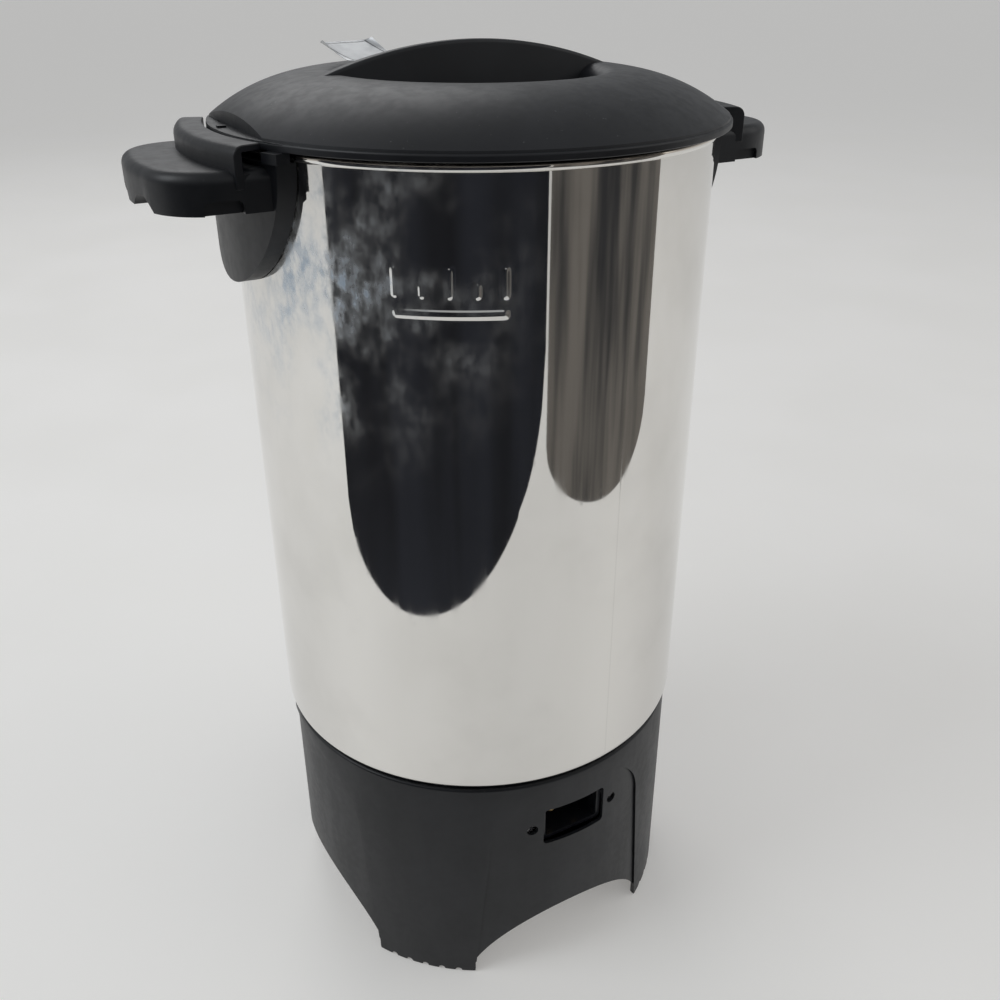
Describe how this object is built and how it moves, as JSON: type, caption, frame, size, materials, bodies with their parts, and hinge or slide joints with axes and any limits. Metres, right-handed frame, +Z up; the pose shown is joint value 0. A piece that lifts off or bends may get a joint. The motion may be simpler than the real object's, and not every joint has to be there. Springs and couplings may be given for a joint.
{
  "type": "coffee urn",
  "caption": "Percolator coffee urn: polished metal vessel on a black footed base, twist-lock lid, two side handles, front tap with sight gauge, lift-out brew basket.",
  "frame": {"origin": "on the urn's axis at table level", "axes": "+Z up, tap at -Y, power inlet at +Y, handles at +X and -X"},
  "size_m": [0.2576, 0.2506, 0.3955],
  "materials": {
    "polished_aluminium": "mirror polished, faint cloudy smudges",
    "brew_aluminium": "satin drawn aluminium",
    "cast_aluminium": "as cast",
    "black_plastic": "satin moulded",
    "plated_steel": "zinc plated",
    "element_steel": "heat-darkened sheath",
    "ceramic_white": "unglazed",
    "pin_brass": "nickel worn to brass",
    "red_lens": "clear red",
    "lamp_glass": "clear",
    "wire_sleeve": "braided sleeve",
    "silicone": "matt silicone",
    "foil_label": "bare foil with a printed border",
    "clear_glass": "clear"
  },
  "bodies": {
    "urn": {"vessel": "polished_aluminium", "base_housing": "black_plastic", "bottom_plate": "plated_steel", "centre_stud": "plated_steel", "centre_washer": "plated_steel", "centre_nut": "plated_steel", "heater_plate": "cast_aluminium", "heating_element": "element_steel", "keep_warm_element": "element_steel", "element_pins": "plated_steel", "heat_shield": "plated_steel", "shield_screws": "plated_steel", "thermostat": "ceramic_white", "thermal_fuse": "ceramic_white", "fuse_clip": "plated_steel", "inlet_block": "black_plastic", "inlet_pins": "pin_brass", "inlet_screws": "plated_steel", "indicator_lens": "red_lens", "indicator_lamp": "lamp_glass", "wiring": "wire_sleeve", "handle_right": "black_plastic", "handle_left": "black_plastic", "handle_screws": "plated_steel", "handle_seals": "silicone", "tap_body": "black_plastic", "tap_outer_washer": "silicone", "tap_inner_washer": "silicone", "tap_nut": "black_plastic", "tap_bonnet": "black_plastic", "tap_spring": "plated_steel", "gauge_glass": "clear_glass", "gauge_gasket": "silicone", "gauge_cap": "black_plastic", "gauge_guard": "black_plastic", "gauge_screw": "plated_steel", "gauge_screw_seal": "silicone"},
    "brewing_set": {"pump_stem": "brew_aluminium", "pump_foot": "brew_aluminium", "brew_basket": "brew_aluminium"},
    "pump_valve": {"pump_valve": "plated_steel"},
    "basket_cover": {"basket_cover": "brew_aluminium"},
    "lid": {"lid": "black_plastic", "lid_sticker": "foil_label"},
    "valve_stem": {"tap_stem": "plated_steel", "tap_seat_cup": "silicone", "lever_pin": "plated_steel"},
    "tap_lever": {"tap_lever": "black_plastic"}
  },
  "joints": [
    {"name": "brew_set_lift", "type": "slide", "parent": "urn", "child": "brewing_set", "axis": [0, 0, 1], "range_m": [0, 0.26]},
    {"name": "pump_valve_travel", "type": "slide", "parent": "brewing_set", "child": "pump_valve", "axis": [0, 0, 1], "range_m": [0, 0.002]},
    {"name": "basket_cover_lift", "type": "slide", "parent": "brewing_set", "child": "basket_cover", "axis": [0, 0, 1], "range_m": [0, 0.08]},
    {"name": "lid_twist", "type": "hinge", "parent": "basket_cover", "child": "lid", "pos_m": [0, 0, 0.37], "axis": [0, 0, 1], "range_deg": [-12, 0]},
    {"name": "tap_lever_pull", "type": "hinge", "parent": "valve_stem", "child": "tap_lever", "pos_m": [0, -0.132, 0.169], "axis": [1, 0, 0], "range_deg": [0, 40], "stiffness_Nm_per_rad": 0.12, "springref_deg": -28.65},
    {"name": "valve_stem_lift", "type": "slide", "parent": "urn", "child": "valve_stem", "axis": [0, 0, 1], "range_m": [0, 0.0029], "deforming": ["tap_spring"]}
  ],
  "couplings": [
    {"joint": "valve_stem_lift", "follows": "tap_lever_pull", "m_per_rad": 0.00415}
  ]
}
